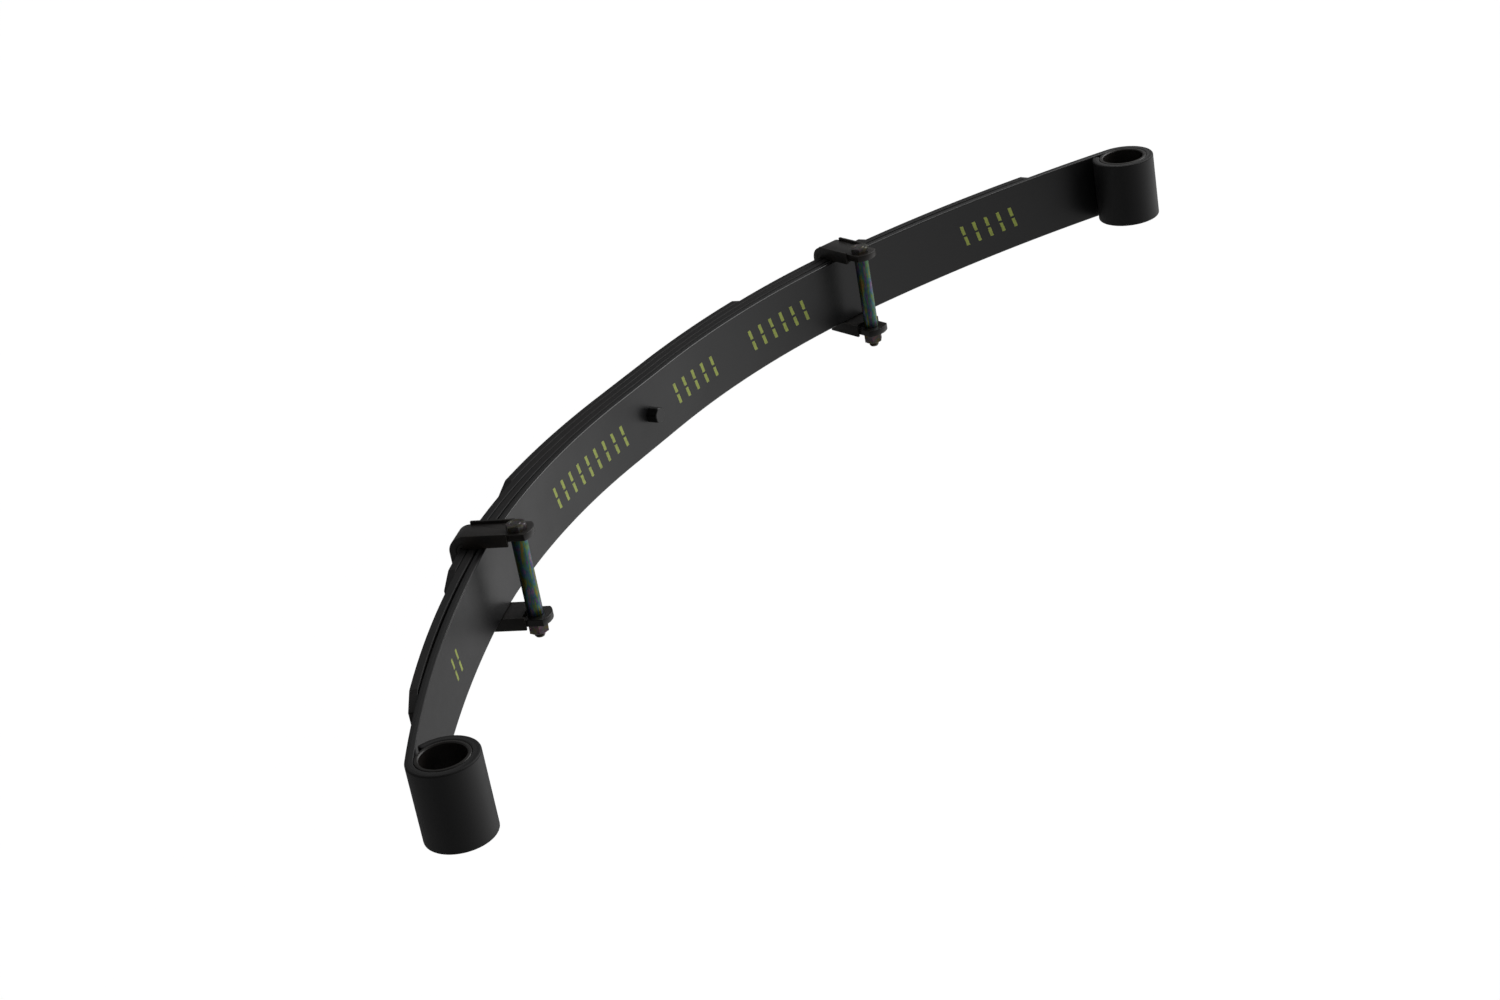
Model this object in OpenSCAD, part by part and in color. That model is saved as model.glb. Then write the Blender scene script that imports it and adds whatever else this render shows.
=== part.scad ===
// Four-leaf vehicle spring with rolled eyes and two bolted rebound clips.
// X runs along the spring (+X is the front, fixed eye), Y is the way across the leaves
// (+Y carries the clip bolt heads), Z is up. The origin is on the centre bolt's axis,
// on the flat upper face of the main leaf. The spring is drawn unloaded.

/* [Part to draw] */
// Which piece to draw, or all of them

/* [Leaves] */
// Width of every leaf (mm)
leaf_width = 70; // [50:1:90]
// Thickness of every leaf (mm)
leaf_thick = 7.3; // [5:0.1:12]
// Half of the flat clamped length at the centre bolt (mm)
seat_half = 45; // [30:1:60]
// Gap between the clamped faces (mm)
seat_gap = 0.1; // [0.05:0.05:0.3]
// Upper face radius of the main leaf next to the seat (mm)
main_radius_in = 890; // [700:10:1400]
// Length bent to that radius (mm)
main_len_in = 326.2; // [200:1:400]
// Upper face radius of the main leaf towards the eyes (mm)
main_radius_out = 1600; // [900:10:4000]
// Main leaf length from the centre bolt to the front eye, along the leaf (mm)
main_front_len = 697; // [500:1:900]
// Main leaf length from the centre bolt to the rear eye, along the leaf (mm)
main_rear_len = 694; // [500:1:900]

/* [Shorter leaves] */
// Second leaf length to its front tip (mm)
second_front_len = 614; // [450:1:680]
// Second leaf length to its rear tip (mm)
second_rear_len = 610; // [450:1:680]
// Third leaf length to its front tip (mm)
third_front_len = 400; // [370:1:500]
// Third leaf length to its rear tip (mm)
third_rear_len = 410; // [370:1:500]
// Fourth leaf length to its front tip (mm)
fourth_front_len = 219; // [190:1:290]
// Fourth leaf length to its rear tip (mm)
fourth_rear_len = 241; // [190:1:290]
// Length of the trimmed corners at a leaf tip (mm)
tip_trim_len = 22; // [5:1:40]
// Depth of the trimmed corners at a leaf tip (mm)
tip_trim_depth = 8.5; // [2:0.5:20]

/* [Eyes] */
// Inside diameter of the rolled front eye (mm)
front_eye_bore = 52; // [35:0.5:60]
// Inside diameter of the rolled rear eye (mm)
rear_eye_bore = 45; // [30:0.5:60]
// Bore of the front eye sleeve (mm)
front_sleeve_bore = 44; // [25:0.5:50]
// Bore of the rear eye sleeve (mm)
rear_sleeve_bore = 38; // [20:0.5:50]
// Gap all round between a sleeve and its eye (mm)
sleeve_gap = 0.05; // [0.02:0.01:0.2]
// Angle left open between the end of the roll and the leaf (deg)
roll_open = 44; // [38:1:60]

/* [Centre bolt] */
// Diameter of the round locating head (mm)
pin_dia = 15; // [10:0.5:22]
// Height of the locating head above the leaf (mm)
pin_height = 11; // [5:0.5:15]
// Shank diameter (mm)
centre_dia = 10; // [8:1:14]
// Hole through the leaves (mm)
centre_hole = 10.6; // [8.5:0.1:15]
// Depth of the spot faces under the head and the nut (mm)
spot_depth = 0.5; // [0.2:0.1:1]

/* [Rebound clips] */
// Distance of each clip from the centre bolt, along the main leaf (mm)
clip_at = 331; // [280:1:360]
// Strap width (mm)
strap_width = 26; // [20:1:45]
// Strap thickness (mm)
strap_thick = 6.5; // [4:0.5:10]
// Inside half width between the strap's arms (mm)
strap_inside = 39; // [36:0.5:50]
// Clip bolt height above the main leaf (mm)
clip_bolt_up = 26; // [18:1:40]
// Clip bolt diameter (mm)
clip_bolt_dia = 10; // [8:1:14]
// Spacer tube outside diameter (mm)
spacer_dia = 14.5; // [12:0.5:20]

/* [Flexing] */
// Distance of each bending axis from the centre bolt (mm)
flex_at = 140; // [120:1:170]
// Depth of each bending axis below the main leaf's upper face (mm)
flex_down = 10; // [0:1:20]
// Radius of the joint drawn round each bending axis (mm)
flex_radius = 25; // [22:1:35]
// Gap at that joint (mm)
flex_gap = 0.3; // [0.2:0.1:1]

/* [Hidden] */
$fn = 96;
eps = 0.01;
facet_len = 12;
reach = 2000;
in_angle = main_len_in / main_radius_in * 180 / PI;
bend_front = [[main_radius_in, main_len_in], [main_radius_out, main_front_len - seat_half - main_len_in]];
bend_rear = [[main_radius_in, main_len_in], [main_radius_out, main_rear_len - seat_half - main_len_in]];
second_run = [[930, 190], [897, 136]];
third_run = [[985, 155], [850, 171]];
fourth_run = [[1040, 90]];
function run_len(r, i = 0) = i < len(r) ? r[i][1] + run_len(r, i + 1) : 0;
function with_tip(r, radius, total) = concat(r, [[radius, total - seat_half - run_len(r)]]);
step_down = leaf_thick + seat_gap;
stack_depth = 4 * leaf_thick + 3 * seat_gap;
third_top = -17.2;
third_under = -24.5;
strap_base = -28.6;
liner_end = 18;
lip_end = 20.5;
lip_out = 2;
nut_flats = 17;
nut_height = 11;
head_height = 5.5;

// ---- outlines in the X-Z plane: 2-D y stands for Z ----

// one bent length, upper face starting at the origin and heading along +x
module bent(radius, thick, angle) {
  far = (radius + thick) * 1.3;
  translate([0, radius]) intersection() {
    difference() { circle(r = radius + thick, $fn = 360); circle(r = radius, $fn = 360); }
    polygon([[0, 0], [0, -far], [far * sin(angle), -far * cos(angle)]]);
  }
}

module to_end(run, i = 0) {
  if (i < len(run)) {
    angle = run[i][1] / run[i][0] * 180 / PI;
    translate([run[i][0] * sin(angle), run[i][0] * (1 - cos(angle))]) rotate(angle)
      to_end(run, i + 1) children();
  } else children();
}

// a short core across a joint between two lengths, inside both
module core() { translate([-0.5, -leaf_thick + 0.3]) square([1, leaf_thick - 0.6]); }

module bent_run(run, i = 0) {
  if (i < len(run)) {
    angle = run[i][1] / run[i][0] * 180 / PI;
    core();
    bent(run[i][0], leaf_thick, angle);
    translate([run[i][0] * sin(angle), run[i][0] * (1 - cos(angle))]) rotate(angle)
      bent_run(run, i + 1);
  }
}

module seat_flat() { translate([-seat_half, -leaf_thick]) square([2 * seat_half, leaf_thick]); }

// the rolled eye, its first touch with the leaf at the origin
module eye_ring(bore) {
  r = bore / 2;
  core();
  translate([0, r]) difference() {
    circle(r = r + leaf_thick, $fn = 180);
    circle(r = r, $fn = 180);
    polygon([[0, 0], [0, -bore * 1.4], [-bore * 1.4 * sin(roll_open), -bore * 1.4 * cos(roll_open)]]);
  }
}

module main_side(run, bore) {
  translate([seat_half, 0]) { bent_run(run); to_end(run) eye_ring(bore); }
}

// points along the upper face of a shorter leaf: x, height and slope
function run_pts(run, x, z, a, i = 0) = i < len(run) ?
  let(r = run[i][0], turn = run[i][1] / r * 180 / PI, n = ceil(run[i][1] / facet_len))
  concat([for (k = [1:n]) let(b = a + turn * k / n) [x + r * (sin(b) - sin(a)), z + r * (cos(a) - cos(b)), b]],
    run_pts(run, x + r * (sin(a + turn) - sin(a)), z + r * (cos(a) - cos(a + turn)), a + turn, i + 1)) : [];
function side_pts(run, level) = concat([[seat_half, -level * step_down, 0]],
  run_pts(run, seat_half, -level * step_down, 0));
function top_line(p) = [for (q = p) [q[0], q[1]]];
function under_line(p) = [for (i = [len(p) - 1:-1:0]) [p[i][0] + leaf_thick * sin(p[i][2]), p[i][1] - leaf_thick * cos(p[i][2])]];
function flipped(l) = [for (i = [len(l) - 1:-1:0]) [-l[i][0], l[i][1]]];

module low_outline(front, rear, level) {
  f = side_pts(front, level);
  r = side_pts(rear, level);
  polygon(concat(top_line(f), under_line(f), flipped(under_line(r)), flipped(top_line(r))));
}

module joint_disc(gap) { translate([flex_at, -flex_down]) circle(r = flex_radius + gap, $fn = 120); }

module middle_zone() {
  translate([-flex_at, -reach]) square([2 * flex_at, 2 * reach]);
  joint_disc(-flex_gap / 2);
  mirror([1, 0]) joint_disc(-flex_gap / 2);
}

module arm_zone() {
  difference() {
    translate([flex_at, -reach]) square([reach, 2 * reach]);
    joint_disc(flex_gap / 2);
  }
}

// ---- solids ----

module across(width = leaf_width) {
  rotate([90, 0, 0]) linear_extrude(height = width, center = true) children();
}

module to_end_3d(run, i = 0) {
  if (i < len(run)) {
    angle = run[i][1] / run[i][0] * 180 / PI;
    translate([run[i][0] * sin(angle), 0, run[i][0] * (1 - cos(angle))]) rotate([0, -angle, 0])
      to_end_3d(run, i + 1) children();
  } else children();
}

// the two corners taken off a leaf tip, the tip at the origin
module tip_corners() {
  slope = tip_trim_depth / tip_trim_len;
  half = leaf_width / 2;
  for (s = [0, 1]) mirror([0, s, 0])
    translate([0, 0, -20]) linear_extrude(height = 40)
      polygon([[-tip_trim_len - 1 / slope, half + 1], [5, half - tip_trim_depth - 5 * slope], [5, half + 1]]);
}

module main_arm(run, bore) {
  across() intersection() { main_side(run, bore); arm_zone(); }
}

module low_arm(run, level) {
  difference() {
    across() intersection() { low_outline(run, run, level); arm_zone(); }
    translate([seat_half, 0, -level * step_down]) to_end_3d(run) tip_corners();
  }
}

module low_middle(front, rear, level) {
  difference() {
    across() intersection() { low_outline(front, rear, level); middle_zone(); }
    centre_drill();
  }
}

module centre_drill() { translate([0, 0, -stack_depth - 5]) cylinder(d = centre_hole, h = stack_depth + 10); }

module main_leaf_centre() {
  color([0.13, 0.13, 0.14]) difference() {
    across() intersection() {
      union() { seat_flat(); translate([seat_half, 0]) bent_run(bend_front);
        mirror([1, 0]) translate([seat_half, 0]) bent_run(bend_rear); }
      middle_zone();
    }
    centre_drill();
    translate([0, 0, -spot_depth]) cylinder(d = pin_dia + 0.8, h = spot_depth + 1);
  }
}

module main_leaf_front() { color([0.13, 0.13, 0.14]) main_arm(bend_front, front_eye_bore); }
module main_leaf_rear() { color([0.13, 0.13, 0.14]) mirror([1, 0, 0]) main_arm(bend_rear, rear_eye_bore); }

second_front = with_tip(second_run, 1370, second_front_len);
second_rear = with_tip(second_run, 1370, second_rear_len);
third_front = with_tip(third_run, 1224, third_front_len);
third_rear = with_tip(third_run, 1224, third_rear_len);
fourth_front = with_tip(fourth_run, 905, fourth_front_len);
fourth_rear = with_tip(fourth_run, 905, fourth_rear_len);

module second_leaf_centre() { color([0.12, 0.12, 0.13]) low_middle(second_front, second_rear, 1); }
module second_leaf_front() { color([0.12, 0.12, 0.13]) low_arm(second_front, 1); }
module second_leaf_rear() { color([0.12, 0.12, 0.13]) mirror([1, 0, 0]) low_arm(second_rear, 1); }

module third_leaf_centre() { color([0.13, 0.13, 0.14]) low_middle(third_front, third_rear, 2); }
module third_arm(run) {
  difference() { low_arm(run, 2); at_clip() rivet_drill(); }
}
module third_leaf_front() { color([0.13, 0.13, 0.14]) third_arm(third_front); }
module third_leaf_rear() { color([0.13, 0.13, 0.14]) mirror([1, 0, 0]) third_arm(third_rear); }

module fourth_leaf_centre() {
  color([0.12, 0.12, 0.13]) difference() {
    low_middle(fourth_front, fourth_rear, 3);
    translate([0, 0, -stack_depth - 1]) cylinder(d = 21, h = 1 + spot_depth);
  }
}
module fourth_leaf_front() { color([0.12, 0.12, 0.13]) low_arm(fourth_front, 3); }
module fourth_leaf_rear() { color([0.12, 0.12, 0.13]) mirror([1, 0, 0]) low_arm(fourth_rear, 3); }

module sleeve(bore, outer) {
  rotate([90, 0, 0]) difference() {
    cylinder(d = outer - 2 * sleeve_gap, h = leaf_width, center = true);
    cylinder(d = bore, h = leaf_width + 2, center = true);
  }
}
module front_eye_sleeve() {
  color([0.16, 0.15, 0.15]) translate([seat_half, 0, 0]) to_end_3d(bend_front)
    translate([0, 0, front_eye_bore / 2]) sleeve(front_sleeve_bore, front_eye_bore);
}
module rear_eye_sleeve() {
  color([0.16, 0.15, 0.15]) mirror([1, 0, 0]) translate([seat_half, 0, 0]) to_end_3d(bend_rear)
    translate([0, 0, rear_eye_bore / 2]) sleeve(rear_sleeve_bore, rear_eye_bore);
}

module centre_bolt() {
  color([0.2, 0.2, 0.2]) {
    cylinder(d = pin_dia, h = pin_height - 1);
    translate([0, 0, -spot_depth]) cylinder(d = pin_dia - 0.8, h = spot_depth + eps);
    translate([0, 0, pin_height - 1]) cylinder(d1 = pin_dia, d2 = pin_dia - 2, h = 1);
    translate([0, 0, -stack_depth - 12]) cylinder(d = centre_dia, h = stack_depth + 12 - spot_depth);
    translate([0, 0, -stack_depth - 13]) cylinder(d1 = centre_dia - 2, d2 = centre_dia, h = 1);
  }
}

// hexagon lying on z = 0, its free face chamfered
module hexagon(flats, height) {
  intersection() {
    cylinder(d = flats / cos(30), h = height, $fn = 6);
    union() {
      cylinder(d = flats / cos(30) + 2, h = height - 1.3);
      translate([0, 0, height - 1.3]) cylinder(d1 = flats / cos(30), d2 = flats * 0.94, h = 1.3);
    }
  }
}

module nut(bore) {
  difference() {
    hexagon(nut_flats, nut_height);
    translate([0, 0, -1]) cylinder(d = bore, h = nut_height + 2);
  }
}

module centre_nut() {
  color([0.2, 0.2, 0.2]) translate([0, 0, -stack_depth + spot_depth]) mirror([0, 0, 1]) nut(centre_dia + 0.1);
}

// ---- rebound clip, in its own frame: x along the leaf, y across, z away from the main leaf's upper face ----

module at_clip() {
  rest = clip_at - seat_half;
  translate([seat_half, 0, 0]) to_end_3d([[main_radius_in, rest]]) children();
}

module strap_outline(outer, inner_r) {
  // a U standing open upwards; outer is its half width, its foot at z = 0
  difference() {
    union() {
      translate([-outer, inner_r]) square([2 * outer, 80]);
      translate([-outer + inner_r, 0]) square([2 * (outer - inner_r), inner_r + eps]);
      for (s = [-1, 1]) translate([s * (outer - inner_r), inner_r]) circle(r = inner_r);
    }
  }
}

module lengthwise(length) { rotate([90, 0, 90]) linear_extrude(height = length, center = true) children(); }

module ear_shape() {
  intersection() {
    translate([-strap_width / 2, -60]) square([strap_width, 120]);
    union() {
      translate([-strap_width / 2 - 1, -60]) square([strap_width + 2, 60 + clip_bolt_up + 10]);
      translate([0, clip_bolt_up - 4.4]) circle(r = 19.4);
    }
  }
}

module clip_strap() {
  outer = strap_inside + strap_thick;
  difference() {
    intersection() {
      translate([0, 0, strap_base - strap_thick]) lengthwise(strap_width) difference() {
        strap_outline(outer, 14);
        translate([0, strap_thick]) strap_outline(strap_inside, 7.5);
      }
      across(2 * outer + 2) ear_shape();
    }
    translate([0, 0, clip_bolt_up]) rotate([90, 0, 0]) cylinder(d = clip_bolt_dia + 0.6, h = 200, center = true);
    translate([0, 0, strap_base - strap_thick - 1]) cylinder(d = 8.4, h = strap_thick + 2);
  }
}

module clip_liner() {
  skin = strap_inside - 0.2;
  inside = leaf_width / 2 + 0.3;
  wall = 2.5;
  lip = strap_inside + strap_thick + lip_out;
  difference() {
    union() {
      // moulded U under and beside the leaves
      intersection() {
        translate([0, 0, strap_base + 0.2]) lengthwise(strap_width) strap_outline(skin, 7.4);
        translate([0, 0, liner_end - 50]) cube([100, 100, 100], center = true);
      }
      // raised lips along both sides of each arm
      for (s = [0, 1]) mirror([0, s, 0]) for (e = [-1, 1])
        translate([e * (strap_width / 2 + 0.2 + wall / 2), (inside + lip) / 2, (lip_end - 21) / 2])
          cube([wall, lip - inside, lip_end + 21], center = true);
      for (s = [0, 1]) mirror([0, s, 0])
        translate([0, (inside + skin) / 2, (liner_end - 21) / 2])
          cube([strap_width + 2, skin - inside, liner_end + 21], center = true);
    }
    translate([0, 0, 50 + third_under - 0.1]) cube([100, 2 * inside, 100], center = true);
    translate([0, 0, strap_base - 1]) cylinder(d = 8.4, h = 10);
  }
}

module rivet_drill() {
  translate([0, 0, third_under - 2]) cylinder(d = 8.4, h = 12);
  translate([0, 0, third_top - 3.2]) cylinder(d1 = 8.4, d2 = 13.4, h = 2.7);
  translate([0, 0, third_top - 0.5 - eps]) cylinder(d = 13.4, h = 2);
}

module clip_rivet() {
  head_z = strap_base - strap_thick - 0.1;
  translate([0, 0, head_z]) cylinder(d = 8, h = third_top - 0.5 - head_z);
  translate([0, 0, third_top - 3.2]) cylinder(d1 = 8, d2 = 13, h = 2.7);
  translate([0, 0, third_top - 0.5]) cylinder(d = 13, h = 0.4);
  intersection() {
    translate([0, 0, head_z + 4]) sphere(r = 8.5);
    translate([0, 0, head_z - 5]) cylinder(d = 20, h = 5);
  }
}

module clip_spacer() {
  translate([0, 0, clip_bolt_up]) rotate([90, 0, 0]) difference() {
    cylinder(d = spacer_dia, h = 2 * strap_inside - 0.2, center = true);
    cylinder(d = clip_bolt_dia + 0.6, h = 100, center = true);
  }
}

module clip_bolt() {
  seat = strap_inside + strap_thick;
  translate([0, 0, clip_bolt_up]) {
    translate([0, seat, 0]) rotate([-90, 0, 0]) hexagon(nut_flats, head_height);
    translate([0, seat, 0]) rotate([90, 0, 0]) cylinder(d = clip_bolt_dia, h = 2 * seat + nut_height + 4);
    translate([0, -seat - nut_height - 4, 0]) rotate([90, 0, 0]) cylinder(d1 = clip_bolt_dia, d2 = clip_bolt_dia - 2, h = 1);
  }
}

module clip_nut() {
  translate([0, -strap_inside - strap_thick - 0.05, clip_bolt_up]) rotate([90, 0, 0]) nut(clip_bolt_dia + 0.1);
}

module rear_side() { mirror([1, 0, 0]) children(); }

module front_clip_strap() { color([0.1, 0.1, 0.1]) at_clip() clip_strap(); }
module front_clip_liner() { color([0.09, 0.08, 0.08]) at_clip() clip_liner(); }
module front_clip_rivet() { color([0.1, 0.1, 0.1]) at_clip() clip_rivet(); }
module front_clip_spacer() { color([0.4, 0.42, 0.22]) at_clip() clip_spacer(); }
module front_clip_bolt() { color([0.3, 0.26, 0.22]) at_clip() clip_bolt(); }
module front_clip_nut() { color([0.45, 0.34, 0.28]) at_clip() clip_nut(); }
module rear_clip_strap() { color([0.1, 0.1, 0.1]) rear_side() at_clip() clip_strap(); }
module rear_clip_liner() { color([0.09, 0.08, 0.08]) rear_side() at_clip() clip_liner(); }
module rear_clip_rivet() { color([0.1, 0.1, 0.1]) rear_side() at_clip() clip_rivet(); }
module rear_clip_spacer() { color([0.4, 0.42, 0.22]) rear_side() at_clip() clip_spacer(); }
module rear_clip_bolt() { color([0.3, 0.26, 0.22]) rear_side() at_clip() clip_bolt(); }
module rear_clip_nut() { color([0.45, 0.34, 0.28]) rear_side() at_clip() clip_nut(); }

main_leaf_centre();
main_leaf_front();
main_leaf_rear();
second_leaf_centre();
second_leaf_front();
second_leaf_rear();
third_leaf_centre();
third_leaf_front();
third_leaf_rear();
fourth_leaf_centre();
fourth_leaf_front();
fourth_leaf_rear();
front_eye_sleeve();
rear_eye_sleeve();
centre_bolt();
centre_nut();
front_clip_strap();
front_clip_liner();
front_clip_rivet();
front_clip_spacer();
front_clip_bolt();
front_clip_nut();
rear_clip_strap();
rear_clip_liner();
rear_clip_rivet();
rear_clip_spacer();
rear_clip_bolt();
rear_clip_nut();
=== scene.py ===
import math

import bmesh
import bpy
from mathutils import Matrix, Vector


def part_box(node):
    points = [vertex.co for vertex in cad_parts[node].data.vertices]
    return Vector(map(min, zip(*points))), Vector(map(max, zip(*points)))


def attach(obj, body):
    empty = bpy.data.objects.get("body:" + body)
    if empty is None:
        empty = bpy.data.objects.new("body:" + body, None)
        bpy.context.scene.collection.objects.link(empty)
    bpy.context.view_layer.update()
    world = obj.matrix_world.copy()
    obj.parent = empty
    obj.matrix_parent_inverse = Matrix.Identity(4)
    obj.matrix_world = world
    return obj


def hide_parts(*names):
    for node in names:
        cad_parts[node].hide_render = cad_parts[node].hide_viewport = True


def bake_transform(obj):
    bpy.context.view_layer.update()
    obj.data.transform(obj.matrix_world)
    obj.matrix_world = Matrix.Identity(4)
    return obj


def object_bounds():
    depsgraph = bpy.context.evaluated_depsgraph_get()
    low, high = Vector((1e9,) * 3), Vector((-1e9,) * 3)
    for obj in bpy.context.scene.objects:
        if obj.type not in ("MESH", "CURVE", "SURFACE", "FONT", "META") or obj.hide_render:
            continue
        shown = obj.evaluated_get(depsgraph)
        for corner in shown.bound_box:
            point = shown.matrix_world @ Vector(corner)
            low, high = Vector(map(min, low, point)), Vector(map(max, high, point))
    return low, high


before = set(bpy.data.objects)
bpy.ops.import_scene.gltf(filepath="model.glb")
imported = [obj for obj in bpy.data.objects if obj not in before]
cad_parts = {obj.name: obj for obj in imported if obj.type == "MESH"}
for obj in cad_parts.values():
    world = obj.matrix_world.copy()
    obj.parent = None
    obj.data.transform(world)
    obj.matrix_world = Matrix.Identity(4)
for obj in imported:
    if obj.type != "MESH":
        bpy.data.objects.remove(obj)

cad_low, cad_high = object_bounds()
MM = 0.001
scene = bpy.context.scene
scene.view_settings.view_transform = "Standard"

# ---- Camera ----
# Stands above and beyond the rear end, and is rolled so that the clip bolts' heads are up.
# The long lens keeps the far eye close to the size of the near one.
CAMERA_PLACE = (-1.93908, 1.03063, 1.44386)
CAMERA_LOOK = (0.74278, -0.42688, -0.51580)
CAMERA_RIGHT = (0.49868, -0.16133, 0.85164)
camera_data = bpy.data.cameras.new("camera")
camera_data.sensor_width = 36
camera_data.lens = 64.56
camera = bpy.data.objects.new("camera", camera_data)
scene.collection.objects.link(camera)
look = Vector(CAMERA_LOOK).normalized()
right = Vector(CAMERA_RIGHT)
right = (right - look * right.dot(look)).normalized()
up = right.cross(look)
camera.matrix_world = Matrix.Translation(CAMERA_PLACE) @ Matrix((right, up, -look)).transposed().to_4x4()
scene.camera = camera


# ---- Leaves ----
# Four lengths of 70 x 7.3 mm spring flat with rolled round edges. Each is sheared to length, its tips are
# trimmed, and it is bent hot to a tighter curve at the clamped middle than towards its ends. The main leaf
# is rolled into an eye at both ends. They are quenched, peened and sprayed satin black.
WIDTH = 70 * MM
THICK = 7.3 * MM
EDGE_ROUND = 1.5 * MM
LOW_EDGE_ROUND = 0.8 * MM
END_ROUND = 0.9 * MM
STEP_DOWN = 7.4 * MM
SEAT = 45 * MM
TRIM_LONG = 22 * MM
TRIM_DEEP = 8.5 * MM
ROLL_TURN = math.radians(316)
STEP_PLAIN = 6 * MM
STEP_ROLLED = 2.4 * MM
CLOSEST = 0.05 * MM
WELD = 1e-7


def maths(tree, kind, *values):
    """One Math node; a value is a number or another node's socket."""
    node = tree.nodes.new("ShaderNodeMath")
    node.operation = kind
    for socket, value in zip(node.inputs, values):
        if isinstance(value, (int, float)):
            socket.default_value = value
        else:
            tree.links.new(value, socket)
    return node.outputs[0]


def bending_group():
    """One bent length: from the distance along the bar to the turn, place and height at that distance."""
    tree = bpy.data.node_groups.new("bent_length", "GeometryNodeTree")
    for name in ("Along", "Start", "Length", "Radius", "Turn", "Place", "Height"):
        tree.interface.new_socket(name, in_out="INPUT", socket_type="NodeSocketFloat")
    for name in ("Turn", "Place", "Height"):
        tree.interface.new_socket(name, in_out="OUTPUT", socket_type="NodeSocketFloat")
    given = tree.nodes.new("NodeGroupInput").outputs
    made = tree.nodes.new("NodeGroupOutput").inputs
    on = maths(tree, "MAXIMUM", maths(tree, "SUBTRACT", given["Along"], given["Start"]), 0.0)
    on = maths(tree, "MINIMUM", on, given["Length"])
    turn = maths(tree, "ADD", given["Turn"], maths(tree, "DIVIDE", on, given["Radius"]))
    across = maths(tree, "SUBTRACT", maths(tree, "SINE", turn), maths(tree, "SINE", given["Turn"]))
    rise = maths(tree, "SUBTRACT", maths(tree, "COSINE", given["Turn"]), maths(tree, "COSINE", turn))
    tree.links.new(turn, made["Turn"])
    tree.links.new(maths(tree, "MULTIPLY_ADD", across, given["Radius"], given["Place"]), made["Place"])
    tree.links.new(maths(tree, "MULTIPLY_ADD", rise, given["Radius"], given["Height"]), made["Height"])
    return tree


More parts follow.
